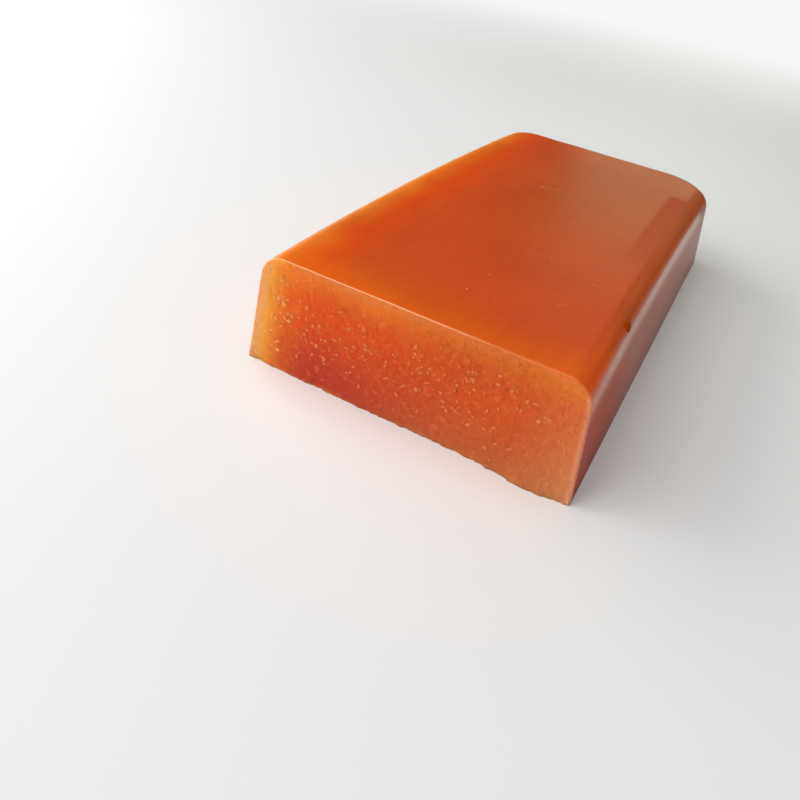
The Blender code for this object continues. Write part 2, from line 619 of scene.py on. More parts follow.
@dataclass(frozen=True)
class PasteFinish:
    """Moist, slightly translucent fruit paste: glossy where it met its mould, grainy where it was cut."""

    name: str = "guava_paste_flesh"
    skin: Colour = (0.606, 0.0765, 0.0124)
    flesh: Colour = (0.730, 0.078, 0.001)
    pale: Colour = (0.84, 0.22, 0.05)
    dark: Colour = (0.36, 0.026, 0.003)
    depth: float = 0.0024
    clouds: Fleck = Fleck(0.030, 1.0, 0.50, 0.40, 0.75, 0.22)
    streaks: Fleck = Fleck(0.0022, 3.0, 0.55, 0.50, 0.75, 0.14)
    # Dark specks in the cut end: painted shade in its pits.
    pit_shade: Fleck = Fleck(0.0016, 3.0, 0.60, 0.52, 0.72, 0.18)
    grains: Fleck = Fleck(0.0013, 2.0, 0.60, 0.55, 0.70, 0.36, warp=0.9)
    wipe_angle: float = math.radians(20)
    wipe_stretch: tuple[float, float, float] = (1.0, 0.10, 1.0)
    glossiest: float = 0.285
    smear_size: float = 0.006
    smear_dulls: float = 0.10
    cut_dulls: float = 0.10
    handling_dulls: float = 0.17
    strip_dulls: float = 0.27
    grain_size: float = 0.00035
    grain_depth: float = 0.00006
    ripple_size: float = 0.0030
    ripple_depth: float = 0.00004

    def skin_layers(self) -> tuple[Wash, ...]:
        """The tints of the skin, from the lowest to the uppermost."""
        deep, lit_left_glow, left_edge_glow = (0.370, 0.064, 0.0035), (0.830, 0.083, 0.002), (0.750, 0.320, 0.032)
        flank, warm, dark = (0.480, 0.075, 0.008), (0.920, 0.177, 0.002), (0.340, 0.060, 0.012)
        brown, umber, russet = (0.740, 0.153, 0.036), (0.600, 0.160, 0.048), (0.970, 0.120, 0.006)
        strip_shade, dusky, wall_reflection = (0.400, 0.070, 0.022), (0.540, 0.090, 0.030), (0.520, 0.190, 0.120)
        red_shade, shaded, sienna = (0.600, 0.045, 0.010), (0.120, 0.040, 0.015), (0.640, 0.100, 0.010)
        pale_highlight, soft, seam = (0.990, 0.600, 0.470), (0.900, 0.320, 0.220), (0.820, 0.330, 0.190)
        pink_highlight = (0.990, 0.420, 0.320)
        edge = (SKIN, Ramp(UP, 23.6, 24.6), Ramp(ACROSS, 34.3, 36.7))
        ridge = (Ramp(UP, 23.8, 24.8), Ramp(ACROSS, 37.3, 38.9), Ramp(ALONG, 6.0, 26.0))
        below_ridge = (RIGHT_SIDE, Ramp(UP, 16.0, 21.0), Ramp(UP, 25.1, 23.3))
        # The band along the top of the right wall where a highlight is painted.
        highlight_band = (RIGHT_SIDE, Ramp(UP, 19.6, 22.6), Ramp(UP, 24.6, 23.5))
        wall = (SKIN, RIGHT_SIDE, Ramp(UP, 25.0, 21.0))
        off_corner = Ramp(ACROSS, -38.5, -25.0)
        return (
            # Painted shade: the skin is darker over its middle and right, away from the light from the left.
            Wash(deep, 0.75, (SKIN, Ramp(ACROSS, -24.0, 8.0), Ramp(ALONG, 9.0, 118.0)), WANDERING),
            # Painted light: the skin grows brighter orange towards the left, where the light from the left
            # comes through the paste.
            Wash(lit_left_glow, 0.80, (SKIN, Ramp(ACROSS, -16.9, -33.6)), WANDERING),
            # Painted light: a yellow glow along the upper left edge, where light comes through the thin
            # paste.
            Wash(left_edge_glow, 0.78, (SKIN, Ramp(UP, 16.0, 27.0), Ramp(ACROSS, -26.9, -40.7)), WANDERING),
            Wash(flank, 0.85, (SKIN, LEFT_SIDE, Ramp(ALONG, 149.0, 131.0), Ramp(UP, 26.0, 17.0))),
            # Painted light: the top is brighter orange near the cut, where light comes through the thin rim.
            Wash(warm, 0.80, (SKIN, TOP_SKIN, Ramp(ALONG, 17.2, -9.7)), WANDERING),
            Wash(brown, 0.90, edge),
            Wash(umber, 0.70, (*edge, Ramp(ALONG, 55.0, 110.0))),
            Wash(russet, 0.70, (*edge, Ramp(ALONG, 34.0, 12.0))),
            # Painted shade: a dark line along the top's far edge, the shade of its rounded edge.
            Wash(dark, 0.55, (TOP_SKIN, Ramp(ALONG, 143.4, 145.4), off_corner)),
            # Painted shade: the darker strip where the top's reflection breaks off.
            Wash(strip_shade, 0.80, SHADED_STRIP),
            Wash(dusky, 0.75, wall),
            # Painted reflection: the right wall grows paler towards the far end, where it mirrors more light.
            Wash(wall_reflection, 0.80, (*wall, Ramp(ALONG, 25.0, 125.0))),
            # Painted shade: the right wall is darker and redder near the cut end.
            Wash(red_shade, 0.80, (*wall, Ramp(ALONG, 54.0, 6.0))),
            Wash(shaded, 0.35, (*wall, Ramp(UP, 12.0, 1.0))),
            Wash(dusky, 0.50, (SIDE_SKIN, FAR_SIDE, off_corner)),
            Wash(sienna, 0.60, ridge),
            # Painted reflection: the upper part of the right wall is paler, where it mirrors brighter light.
            Wash(soft, 0.35, (*below_ridge, Ramp(ALONG, 124.0, 112.0))),
            # Painted highlight: a pale line along the top of the right wall, pinker near the cut, where its
            # rounded edge mirrors the light.
            Wash(pink_highlight, 0.65, (*highlight_band, Ramp(ALONG, 32.0, 12.0))),
            Wash(pale_highlight, 0.85, (*highlight_band, Ramp(ALONG, 4.0, 24.0), Ramp(ALONG, 128.0, 118.0))),
            Wash(pale_highlight, 0.50, (*highlight_band, Ramp(ALONG, 40.0, 60.0), Ramp(ALONG, 132.0, 112.0))),
            Wash(seam, 0.75, (RIGHT_SIDE, Ramp(ALONG, 1.0, 0.55), Ramp(UP, 26.0, 23.5))),
        )

    def cut_layers(self) -> tuple[Wash, ...]:
        """The tints of the cut end, from the lowest to the uppermost."""
        warm, golden, dusky = (0.702, 0.112, 0.0113), (0.790, 0.226, 0.0137), (0.375, 0.187, 0.0793)
        tan, crest, red_shade = (0.875, 0.476, 0.178), (0.720, 0.225, 0.0544), (0.406, 0.0035, 0.001)
        fiery, amber, cream = (0.970, 0.241, 0.001), (0.970, 0.841, 0.110), (0.577, 0.252, 0.218)
        rim, foot, border = (0.960, 0.470, 0.280), (0.620, 0.200, 0.050), (0.860, 0.380, 0.220)
        blurred = (0.760, 0.130, 0.006)
        at_right = (Ramp(ALONG, 0.75, 0.45), Ramp(ACROSS, 37.4, 38.4), Ramp(UP, 26.0, 24.0))
        return (
            Wash(warm, 0.90, (CUT_END, Ramp(ACROSS, -28.8, 24.3)), WANDERING),
            # Painted light: the cut end is more golden towards its top, where light comes through the thin
            # paste under the skin.
            Wash(golden, 0.80, (CUT_END, Ramp(UP, 19.2, 27.1)), WANDERING),
            # Painted light: the lower part of the cut end is paler and pinker, where it takes up light from
            # the pale board below.
            Wash(dusky, 0.60, (CUT_END, Ramp(UP, 15.5, -7.5)), WANDERING),
            Wash(tan, 0.60, (CUT_END, Ramp(ACROSS, 21.0, 46.3), Ramp(UP, 34.4, 1.5)), WANDERING),
            # Painted light: a paler band just under the rim, where light comes through the thin edge.
            Wash(crest, 0.60, (CUT_END, Ramp(UP, 24.8, 26.4)), WANDERING),
            # Painted shade: the cut end is darker red towards its lower left.
            Wash(red_shade, 0.70, (CUT_END, Ramp(ACROSS, 26.9, -22.5), Ramp(UP, 19.5, 2.8)), WANDERING),
            # Painted light: the cut end grows brighter, then amber and cream towards its left edge, where the
            # light from the left comes through the thin paste.
            Wash(fiery, 0.70, (CUT_END, Ramp(ACROSS, -22.1, -41.7))),
            Wash(amber, 0.90, (CUT_END, Ramp(ACROSS, -30.0, -45.8))),
            Wash(cream, 0.80, (CUT_END, Ramp(ACROSS, -34.7, -40.4))),
            Wash(border, 0.55, at_right),
            Wash(foot, 0.40, (CUT_END, Ramp(UP, 0.85, 0.35)), WANDERING),
            # Painted highlight: a pale line along the cut's top rim, where the rounded rim catches the light;
            # the blurred tint mutes it towards the right.
            Wash(rim, 0.65, (RIM, Ramp(UP, 26.67, 26.85), Ramp(ACROSS, 24.0, 6.0))),
            Wash(blurred, 0.60, (RIM, Ramp(UP, 26.40, 26.70), Ramp(ACROSS, 8.0, 24.0)), WANDERING),
        )

    def material(self) -> Material:
        """The finished material."""
        desk = PasteDesk(self.name)
        colour = desk.blend(desk.on_cut, self.skin, self.flesh)
        for wash in self.skin_layers() + self.cut_layers():
            colour = desk.blend(desk.covered(wash.ramps, wash.strength, wash.edge), colour, wash.colour)
        desk.set(
            Base_Color=self.mottle(desk, colour),
            Roughness=self.roughness(desk),
            Normal=self.relief(desk),
            IOR=1.28,
            Subsurface_Weight=0.85,
            Subsurface_Radius=(1.0, 0.45, 0.20),
            Subsurface_Scale=self.depth,
        )
        return desk.owner

    def mottle(self, desk: PasteDesk, colour: Socket) -> Socket:
        """Clouds all over, streaks in the skin, and in the cut end dark specks of painted shade in its pits
        and soft pale grains.

        Args:
            desk: the material's nodes.
            colour: the colour so far.

        Returns:
            The mottled colour.
        """
        for fleck, place, where, tint in (
            (self.clouds, desk.place, 1.0, self.dark),
            (self.streaks, self.wiped(desk), desk.on_skin, self.dark),
            (self.pit_shade, desk.place, desk.on_cut, self.dark),
            (self.grains, desk.place, desk.on_cut, self.pale),
        ):
            colour = desk.blend(fleck.shown(desk, place, where), colour, tint)
        return colour

    def wiped(self, desk: PasteDesk) -> Socket:
        """Coordinates stretched along the way in which the mould was wiped, a little across the bar."""
        turn = (0.0, 0.0, self.wipe_angle)
        inputs = {"Vector": desk.place, "Rotation": turn, "Scale": self.wipe_stretch}
        return desk.add("ShaderNodeMapping", inputs).outputs[0]

    def roughness(self, desk: PasteDesk) -> Socket:
        """Duller where it is cut, scraped or handled, uneven all over."""
        rough: object = self.glossiest
        for where, dulls in (
            (desk.noise(desk.place, self.smear_size, 4.0, 0.6), self.smear_dulls),
            (desk.on_cut, self.cut_dulls),
            (desk.covered(HANDLED), self.handling_dulls),
            (desk.covered(SHADED_STRIP), self.strip_dulls),
        ):
            rough = desk.maths("MULTIPLY_ADD", where, dulls, rough)
        return rough

    def relief(self, desk: PasteDesk) -> Socket:
        """The finest grain, on top of what the mesh has."""
        grain = desk.maths("MULTIPLY", desk.noise(desk.place, self.grain_size, 3.0, 0.6), desk.on_cut)
        ripple = desk.noise(desk.place, self.ripple_size, 3.0)
        return desk.bump(grain, self.grain_depth, desk.bump(ripple, self.ripple_depth))


@dataclass(frozen=True)
class PulpFinish:
    """Pale, wet bits of pulp: stone cells and fibres, each a little different in tone."""

    name: str
    pale: Colour = (0.860, 0.220, 0.072)
    deep: Colour = (0.760, 0.128, 0.014)
    palest: Colour = (0.990, 0.405, 0.120)
    vein_size: float = 0.0003
    vein_share: float = 0.3
    shine: float = 0.5

    def material(self) -> Material:
        """The finished material, deep at tone 0, pale at 1 and palest at 2."""
        desk = NodeDesk.for_material(self.name)
        tone = desk.attribute(TONE_ATTRIBUTE, "Fac")
        veins = desk.noise(desk.object_place(), self.vein_size)
        mean = desk.maths("SUBTRACT", tone, self.vein_share / 2)
        colour = desk.blend(
            desk.maths("MULTIPLY_ADD", veins, self.vein_share, mean, clamp=True), self.deep, self.pale
        )
        desk.set(
            Base_Color=desk.blend(desk.maths("SUBTRACT", tone, 1.0, clamp=True), colour, self.palest),
            Roughness=0.36,
            IOR=1.36,
            Specular_IOR_Level=self.shine,
            Subsurface_Weight=0.5,
            Subsurface_Radius=(1.0, 0.4, 0.2),
            Subsurface_Scale=0.0008,
        )
        return desk.owner


@dataclass(frozen=True)
class FloorFinish:
    """A pale matt board that fades into the air round it."""

    name: str = "pale_board"
    colour: Colour = (0.86, 0.86, 0.85)
    shaded: Colour = (0.8342, 0.8342, 0.8245)
    cloud_size: float = 0.5
    fade_from: float = 0.26
    fade_to: float = 0.75

    def material(self) -> Material:
        """The finished material."""
        desk = NodeDesk.for_material(self.name)
        place = desk.object_place()
        reach = desk.vector("LENGTH", place, result="Value")
        desk.set(
            Base_Color=desk.blend(desk.noise(place, self.cloud_size), self.colour, self.shaded),
            Roughness=0.6,
            Specular_IOR_Level=0.3,
            Alpha=desk.smooth(reach, self.fade_to, self.fade_from),
        )
        return desk.owner


@dataclass
class Piece:
    """A piece of the bar, and the finish that it gets."""

    bar: Bar
    finish: PasteFinish | PulpFinish

    def make(self) -> Object:
        """Makes the piece's object, where it lies in the row frame."""
        raise NotImplementedError

    def build(self) -> None:
        """Makes the piece, gives it its finish, ties it to its body, and reports it."""
        piece = self.make()
        piece.data.materials.clear()
        piece.data.materials.append(self.finish.material())
        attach(piece, BODY)
        triangles = sum(len(face.vertices) - 2 for face in piece.data.polygons)
        LOG.info("%s: %d triangles", piece.name, triangles)


@dataclass
class PasteBar(Piece):
    """The bar itself, with its moulded skin and its cut end."""

    name: str = "paste_bar"
    skin_step: float = 0.0015
    flat_step: float = 0.0024
    cut_step: float = 0.0013
    cut_fineness: int = 4
    rim_radius: float = 0.00035
    rim_segments: int = 3
    crease: float = math.radians(50)

    def loops(self) -> dict[Axis, list[float]]:
        """Places of the edge loops along each axis of the block."""
        mould = self.bar.mould
        half, length, height, edge = mould.half, mould.length, mould.height, mould.edge_radius
        corner = max(*mould.corner_left, *mould.corner_right)
        burr = self.bar.skin.burr_reach
        across = evenly(-half, -half + edge, self.skin_step / 2)
        across += evenly(-half + edge, half - edge, self.cut_step)
        across += evenly(half - edge, half, self.skin_step / 2)
        along = evenly(0, 3 * burr, burr / 3)
        along += evenly(3 * burr, length - corner, self.flat_step)
        along += evenly(length - corner, length - edge, self.skin_step)
        along += evenly(length - edge, length, self.skin_step / 2)
        up = evenly(0, height - edge, self.cut_step)
        up += evenly(height - edge, height, self.skin_step / 2)
        return {ACROSS: across[1:], ALONG: along[1:], UP: up[1:]}

    def sliced_block(self) -> Object:
        """A square-edged block with the edge loops cut in, its base one face; it is the active object."""
        mould = self.bar.mould
        deselect_all()
        bpy.ops.mesh.primitive_cube_add(
            size=1.0,
            location=(0.0, mould.length / 2, mould.height / 2),
            scale=(mould.base_width, mould.length, mould.height),
        )
        block = named(self.name)
        with editing():
            for axis, places in self.loops().items():
                slice_mesh(axis.normal(), places)
            bpy.ops.mesh.select_all(action="DESELECT")
        select_only(block.data, block.data.polygons, lambda face: face.normal.z < -STRAIGHT)
        with editing():
            bpy.ops.mesh.dissolve_faces()
        return block

    def soften_rim(self, mesh: Mesh) -> None:
        """Rounds off the edge between the cut end and the skin, and refines the cut end's faces."""
        mould = self.bar.mould

        def on_rim(edge: bpy.types.MeshEdge) -> bool:
            """Whether an edge lies on the rim of the cut end, its foot apart."""
            ends = [mesh.vertices[i].co for i in edge.vertices]
            if max(end.y for end in ends) > TINY:
                return False
            sides = all(abs(abs(end.x) - mould.half) < TINY for end in ends)
            top = all(abs(end.z - mould.height) < TINY for end in ends)
            return sides or top

        select_only(mesh, mesh.edges, on_rim)
        with editing():
            bpy.ops.mesh.select_mode(type="EDGE")
            bpy.ops.mesh.bevel(offset=self.rim_radius, segments=self.rim_segments, affect="EDGES")
            bpy.ops.mesh.select_mode(type="FACE")
        select_only(mesh, mesh.polygons, lambda face: face.normal.y < -STRAIGHT and face.center.y < TINY)
        with editing():
            bpy.ops.mesh.subdivide(number_cuts=self.cut_fineness)

    def keep_places(self, mesh: Mesh) -> None:
        """Stores where each point lay in the square-edged block, for the material to read."""
        places = mesh.attributes.new(PLACE_ATTRIBUTE, "FLOAT_VECTOR", "POINT")
        for vertex, kept in zip(mesh.vertices, places.data):
            kept.vector = vertex.co

    def shape(self, mesh: Mesh) -> None:
        """Moves every point to its moulded place, with the relief of the cut and of the skin."""
        mould, cut, skin, origin = self.bar.mould, self.bar.cut, self.bar.skin, self.bar.origin
        for vertex in mesh.vertices:
            flat = vertex.co.copy()
            place = mould.place(flat)
            if flat.z > mould.height - TINY:
                place.z -= skin.top_drop(place, flat.y)
            elif min(flat.z, flat.y) > TINY and abs(flat.x) > mould.half - TINY:
                place.x -= math.copysign(skin.side_dent(place), flat.x)
            if flat.y < self.rim_radius + TINY:
                share = max(0.0, 1 - flat.y / self.rim_radius)
                place.y += share * cut.relief(place.x, place.z)
            vertex.co = place + origin
        mesh.update()

    def make(self) -> Object:
        """Makes the bar, which stands for its node."""
        block = self.sliced_block()
        self.soften_rim(block.data)
        self.keep_places(block.data)
        self.shape(block.data)
        deselect_all()
        block.select_set(True)
        bpy.context.view_layer.objects.active = block
        bpy.ops.object.shade_smooth_by_angle(angle=self.crease)
        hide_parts(NODE)
        return block


@dataclass(frozen=True)
class Placement:
    """Where one scattered bit lies, how it is turned and stretched, and how pale it is."""

    place: Vector
    turn: Euler
    size: Vector
    tone: float


def scatter(name: str, seeds: Sequence[Object], placements: Sequence[Placement]) -> Object:
    """Joins a copy of a small shape at each placement into one piece, and removes the shapes.

    Args:
        name: the piece's name.
        seeds: the shapes, around their own origins, taken in turn.
        placements: the copies.

    Returns:
        The piece.
    """
    vertices: list[Vector] = []
    faces: list[list[int]] = []
    tones: list[float] = []
    for number, spot in enumerate(placements):
        seed = seeds[number % len(seeds)].data
        matrix = Matrix.LocRotScale(spot.place, spot.turn, spot.size)
        start = len(vertices)
        vertices += [matrix @ vertex.co for vertex in seed.vertices]
        faces += [[start + i for i in face.vertices] for face in seed.polygons]
        tones += [spot.tone] * len(seed.vertices)
    mesh = bpy.data.meshes.new(name)
    mesh.from_pydata(vertices, [], faces)
    keep_tones(mesh, tones)
    mesh.shade_smooth()
    piece = bpy.data.objects.new(name, mesh)
    bpy.context.scene.collection.objects.link(piece)
    for seed in seeds:
        bpy.data.objects.remove(seed, do_unlink=True)
    return piece


def mostly_small(rng: random.Random, sizes: tuple[float, float]) -> float:
    """A random size between these two, most often near the first."""
    smallest, largest = sizes
    return smallest + (largest - smallest) * rng.random() ** 2


def lump_seed(name: str, unevenness: float, number: int, roundness: float = 0.85) -> Object:
    """A small uneven lump, about 1.4 across until it is scaled, with a few dozen faces.

    Args:
        name: its name.
        unevenness: how far its points move, as a share of its radius.
        number: which lump of the many it is; each reads a noise layer of its own.
        roundness: how far it goes from a cube to a ball.

    Returns:
        The lump.
    """
    deselect_all()
    bpy.ops.mesh.primitive_cube_add(size=1.0)
    lump = named(name)
    with editing():
        bpy.ops.mesh.select_all(action="SELECT")
        bpy.ops.mesh.subdivide(number_cuts=1)
        bpy.ops.transform.tosphere(value=roundness)
    layer = Vector((number * 7.0, 0.0, 0.0))
    for vertex in lump.data.vertices:
        vertex.co *= 1 + unevenness * noise.noise(vertex.co * 2.1 + layer)
    return lump


def fibre_seed(name: str, bow: float, sections: int = 6, tip_area: float = 0.04) -> Object:
    """A thin fibre, 1 long and 1 thick until it is scaled, bowed upwards and tapered to its ends.

    Args:
        name: its name.
        bow: how far its middle stands off its chord, as a share of its length.
        sections: how many lengths it is cut into.
        tip_area: the area of its ends, as a share of its middle's.

    Returns:
        The fibre.
    """
    deselect_all()
    bpy.ops.mesh.primitive_cylinder_add(vertices=6, radius=0.5, depth=1.0, rotation=(0.0, math.pi / 2, 0.0))
    fibre = named(name)
    with editing():
        slice_mesh(ACROSS.normal(), [i / sections - 0.5 for i in range(1, sections)])
    for vertex in fibre.data.vertices:
        x, y, z = vertex.co
        swell = 1 - (2 * x) ** 2
        taper = math.sqrt(max(tip_area, swell))
        vertex.co = Vector((x, z * taper, y * taper + bow * swell))
    # The swap of y and z mirrors the fibre, so its faces are turned outwards again.
    fibre.data.flip_normals()
    return fibre


@dataclass(frozen=True)
class Rise:
    """A number that rises evenly from 0 to 1 over a width, from a start, but is never below its least."""

    start: float
    width: float
    least: float = 0.0

    def at(self, value: float) -> float:
        """The number at this value."""
        return min(1.0, max(self.least, (value - self.start) / self.width))


@dataclass(frozen=True)
class PulpSpread:
    """How the pulp shows in the cut end: least under the skin and at the foot, and a little less midway."""

    mould: Mould
    under_top: Rise = Rise(0.0015, 0.007, least=0.30)
    from_left: Rise = Rise(0.0020, 0.003)
    from_right: Rise = Rise(0.003, 0.016, least=0.60)
    above_foot: Rise = Rise(0.0005, 0.013, least=0.20)
    thin_at: float = -0.004
    thin_reach: float = 0.014
    thinned: float = 0.28
    paler_right: Rise = Rise(0.002, 0.030)
    paler_left: Rise = Rise(0.022, 0.012)
    right_gain: float = 0.55
    left_gain: float = 0.80
    left_lift: float = 0.70

    def density(self, x: float, z: float) -> float:
        """How likely a bit is to show here."""
        top, left = self.under_top.at(self.mould.height - z), self.from_left.at(x + self.mould.half)
        right, foot = self.from_right.at(self.mould.half - x), self.above_foot.at(z)
        thinning = self.thinned * math.exp(-(((x - self.thin_at) / self.thin_reach) ** 2))
        return top * left * right * foot * (1 - thinning)

    def tone(self, x: float, chance: float) -> float:
        """How pale a bit is here: paler towards both sides, where the flesh round it is paler too; on the
        left this is painted light, as on the flesh.
        """
        to_right, to_left = self.paler_right.at(x), self.paler_left.at(-x)
        gain = self.right_gain * to_right + self.left_gain * to_left
        return chance + gain * (1 - chance) + self.left_lift * to_left


@dataclass
class PulpGrains(Piece):
    """The stone cells of the fruit, standing in the cut end as pale grit."""

    name: str = "pulp_grains"
    count: int = 152
    seed: int = 166
    shapes: int = 6
    sizes: tuple[float, float] = (0.00044, 0.00086)
    wide: tuple[float, float] = (0.8, 1.4)
    tall: tuple[float, float] = (0.6, 1.0)
    deep: float = 0.45
    sunk: tuple[float, float] = (0.20, 0.42)
    unevenness: float = 0.85
    fewer_pale: float = 1.5
    clusters: int = 30
    clustered: float = 0.35
    cluster_spread: float = 0.0024
    cluster_squash: float = 0.7
    strays: float = 0.05
    side_margin: float = 0.001
    foot_margin: float = 0.0006
    margin: float = 0.0008

    def spots(self) -> list[tuple[float, float]]:
        """Places of the grains in the cut end, loosely clustered."""
        rng = random.Random(self.seed)
        mould = self.bar.mould
        spread = PulpSpread(mould)
        reach = mould.half - self.side_margin

        def anywhere() -> tuple[float, float]:
            """A place that the density allows."""
            while True:
                x, z = rng.uniform(-reach, reach), rng.uniform(self.margin, mould.height - self.margin)
                if rng.random() < spread.density(x, z):
                    return x, z

        def inside(x: float, z: float) -> bool:
            """Whether a place is in the cut end, clear of its rounded corners too."""
            out_x = max(0.0, abs(x) - (mould.half - mould.edge_radius))
            out_z = max(0.0, z - (mould.height - mould.edge_radius))
            if math.hypot(out_x, out_z) >= mould.edge_radius - self.margin:
                return False
            return abs(x) < reach and self.foot_margin < z < mould.height - self.foot_margin

        centres = [anywhere() for _ in range(self.clusters)]
        places: list[tuple[float, float]] = []
        while len(places) < self.count:
            if rng.random() < self.clustered:
                centre = rng.choice(centres)
                x = rng.gauss(centre[0], self.cluster_spread)
                z = rng.gauss(centre[1], self.cluster_spread * self.cluster_squash)
            else:
                x, z = anywhere()
            if inside(x, z) and rng.random() < spread.density(x, z) + self.strays:
                places.append((x, z))
        return places

    def make(self) -> Object:
        """Makes the grains, most of them small, turned at random and more than half sunk in the cut."""
        rng = random.Random(self.seed + 1)
        spread = PulpSpread(self.bar.mould)
        seeds = [lump_seed(f"grain_{i}", self.unevenness, i) for i in range(self.shapes)]
        placements = []
        for x, z in self.spots():
            across = mostly_small(rng, self.sizes)
            wide, tall = rng.uniform(*self.wide), rng.uniform(*self.tall)
            size = Vector((across * wide, across * self.deep, across * tall))
            place = self.bar.on_cut(x, z)
            place.y += size.y * rng.uniform(*self.sunk)
            turn = Euler((0.0, rng.uniform(0, math.pi), 0.0))
            tone = spread.tone(x, rng.random() ** self.fewer_pale)
            placements.append(Placement(place, turn, size, tone))
        return scatter(self.name, seeds, placements)


@dataclass
class PulpFibres(Piece):
    """Short bowed fibres of the fruit, torn free by the knife and lying in the cut end."""

    name: str = "pulp_fibres"
    count: int = 78
    seed: int = 29
    lengths: tuple[float, float] = (0.0007, 0.0021)
    broken: tuple[float, float] = (0.6, 1.0)
    thicknesses: tuple[float, float] = (0.00024, 0.00044)
    tall: float = 1.4
    sunk: tuple[float, float] = (0.0, 0.3)
    bows: tuple[float, ...] = (0.12, 0.28, 0.44, 0.58)
    tilts: float = 0.9
    fewer_pale: float = 1.6
    left_margin: float = 0.004
    right_margin: float = 0.003
    foot_margin: float = 0.001
    top_margin: float = 0.0025

    def make(self) -> Object:
        """Makes the fibres, more of them level than upright, at least half sunk in the cut."""
        rng = random.Random(self.seed)
        mould = self.bar.mould
        spread = PulpSpread(mould)
        seeds = [fibre_seed(f"fibre_{i}", bow) for i, bow in enumerate(self.bows)]
        placements = []
        while len(placements) < self.count:
            x = rng.uniform(-mould.half + self.left_margin, mould.half - self.right_margin)
            z = rng.uniform(self.foot_margin, mould.height - self.top_margin)
            if rng.random() > spread.density(x, z):
                continue
            length = rng.uniform(*self.lengths) * rng.uniform(*self.broken)
            thick = rng.uniform(*self.thicknesses)
            place = self.bar.on_cut(x, z)
            place.y += thick * rng.uniform(*self.sunk)
            turn = Euler((0.0, rng.gauss(0.0, self.tilts), 0.0))
            size = Vector((length, thick, thick * self.tall))
            tone = spread.tone(x, rng.random() ** self.fewer_pale)
            placements.append(Placement(place, turn, size, tone))
        return scatter(self.name, seeds, placements)


@dataclass
class SkinSpecks(Piece):
    """Grains that show as pale specks in the glossy top."""

    name: str = "skin_specks"
    count: int = 90
    seed: int = 47
    shapes: int = 3
    first_layer: int = 9
    sizes: tuple[float, float] = (0.00018, 0.00045)
    stretch: tuple[float, float] = (1.0, 2.0)
    flatness: float = 0.5
    sunk: float = 0.40
    unevenness: float = 0.35
    palest: float = 0.6
    fewest: float = 0.35
    left_margin: float = 0.013
    right_margin: float = 0.011
    near_margin: float = 0.004
    far_margin: float = 0.016

    def make(self) -> Object:
        """Makes the specks, more of them towards the right, more than half sunk in the top."""
        rng = random.Random(self.seed)
        mould = self.bar.mould
        shapes = range(self.shapes)
        seeds = [lump_seed(f"speck_{i}", self.unevenness, i + self.first_layer) for i in shapes]
        placements = []
        while len(placements) < self.count:
            x = rng.uniform(-mould.half + self.left_margin, mould.half - self.right_margin)
            y = rng.uniform(self.near_margin, mould.length - self.far_margin)
            if rng.random() > self.fewest + (1 - self.fewest) * (0.5 + x / mould.base_width):
                continue
            across = mostly_small(rng, self.sizes)
            size = Vector((across * rng.uniform(*self.stretch), across, across * self.flatness))
            place = self.bar.on_top(x, y)
            place.z -= size.z * self.sunk
            turn = Euler((0.0, 0.0, rng.uniform(0, math.pi)))
            placements.append(Placement(place, turn, size, rng.random() * self.palest))
        return scatter(self.name, seeds, placements)


@dataclass(frozen=True)
class Strand:
    """One pale strand of pulp in the top: where it starts and ends, and how far it bows, in millimetres."""

    start: tuple[float, float]
    end: tuple[float, float]
    thick: float = 0.25
    bow: float = 0.0
    tone: float = 0.5


